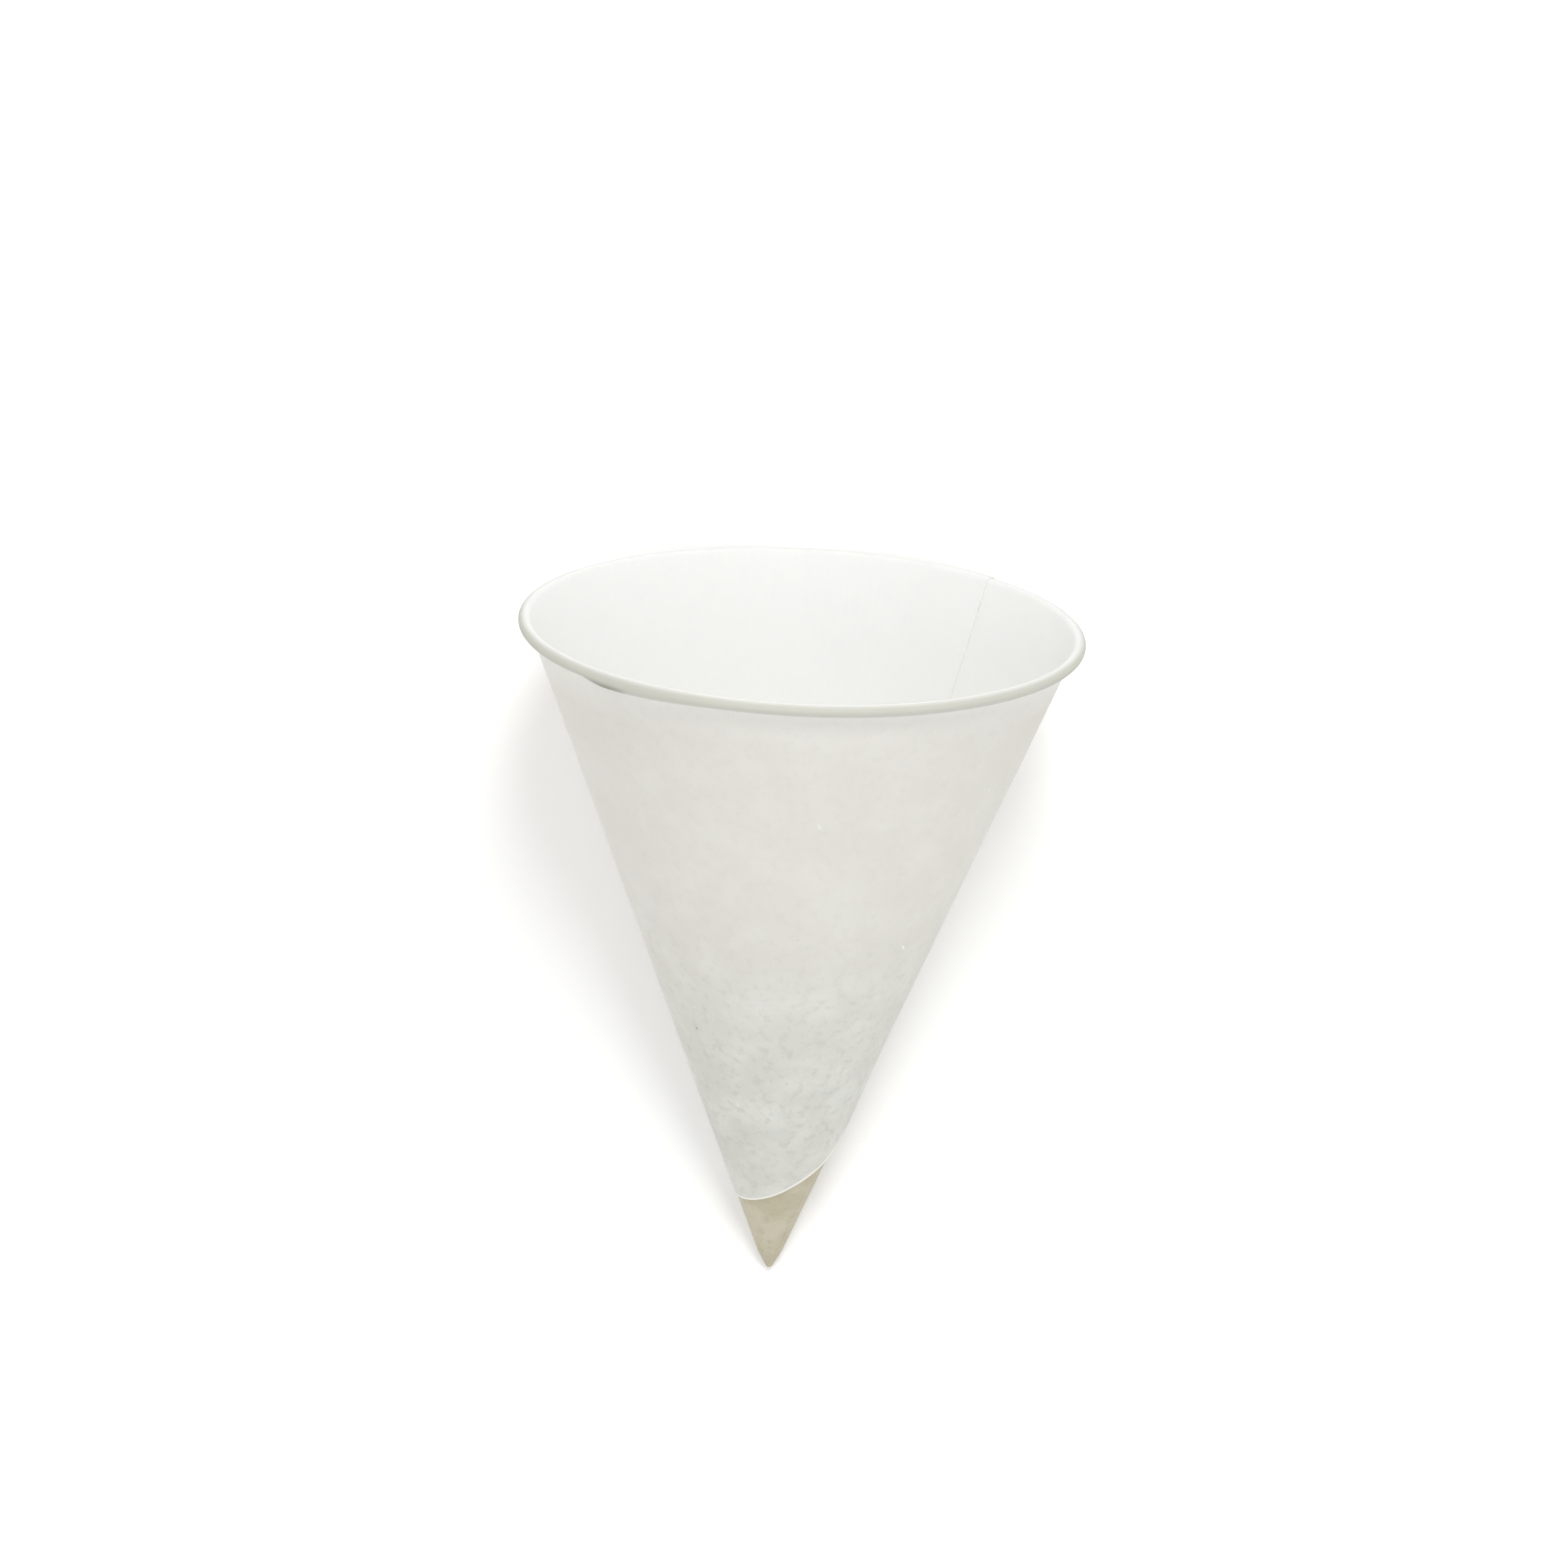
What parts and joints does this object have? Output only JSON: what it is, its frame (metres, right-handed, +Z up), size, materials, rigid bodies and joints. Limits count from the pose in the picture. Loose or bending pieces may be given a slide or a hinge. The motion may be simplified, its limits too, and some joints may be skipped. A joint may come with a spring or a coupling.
{
  "type": "cone paper cup",
  "caption": "Pointed drinking cup of plain white paper, wound into a cone with an outward-rolled rim and a slanting cut edge near its point, lying on its side",
  "frame": {"origin": "middle of the footprint, on the surface that the cup lies on", "axes": "+Y from the point toward the mouth along the surface, +Z up through the side that the picture shows, +X to the right of that view"},
  "size_m": [0.0834, 0.1138, 0.0778],
  "materials": {
    "cup_paper": "uncoated matte"
  },
  "bodies": {
    "root": {"cone_cup": "cup_paper"}
  },
  "joints": []
}
